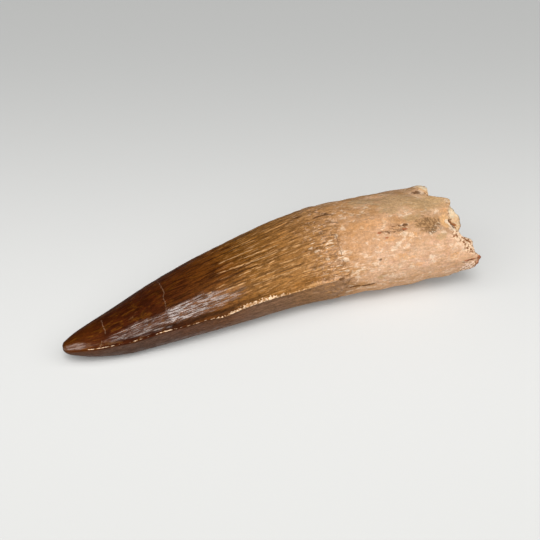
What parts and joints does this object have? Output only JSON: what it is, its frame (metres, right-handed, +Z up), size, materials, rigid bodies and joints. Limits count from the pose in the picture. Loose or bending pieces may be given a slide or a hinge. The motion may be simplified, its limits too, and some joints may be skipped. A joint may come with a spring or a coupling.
{
  "type": "fossil dinosaur tooth",
  "caption": "Long, gently bent conical fossil tooth lying on its side: fluted glossy brown enamel crown with cutting ridges, blunt tip, and a matt tan broken root.",
  "frame": {"origin": "centre of the bounding box's footprint, on the surface the tooth lies on", "axes": "+X along the tooth from the tip to the broken root, +Y towards the bulging side of its bend, +Z up"},
  "size_m": [0.1, 0.0304, 0.0213],
  "materials": {
    "fossil_tooth": "satin brown enamel passing into matt tan root"
  },
  "bodies": {
    "root": {"tooth": "fossil_tooth"}
  },
  "joints": []
}
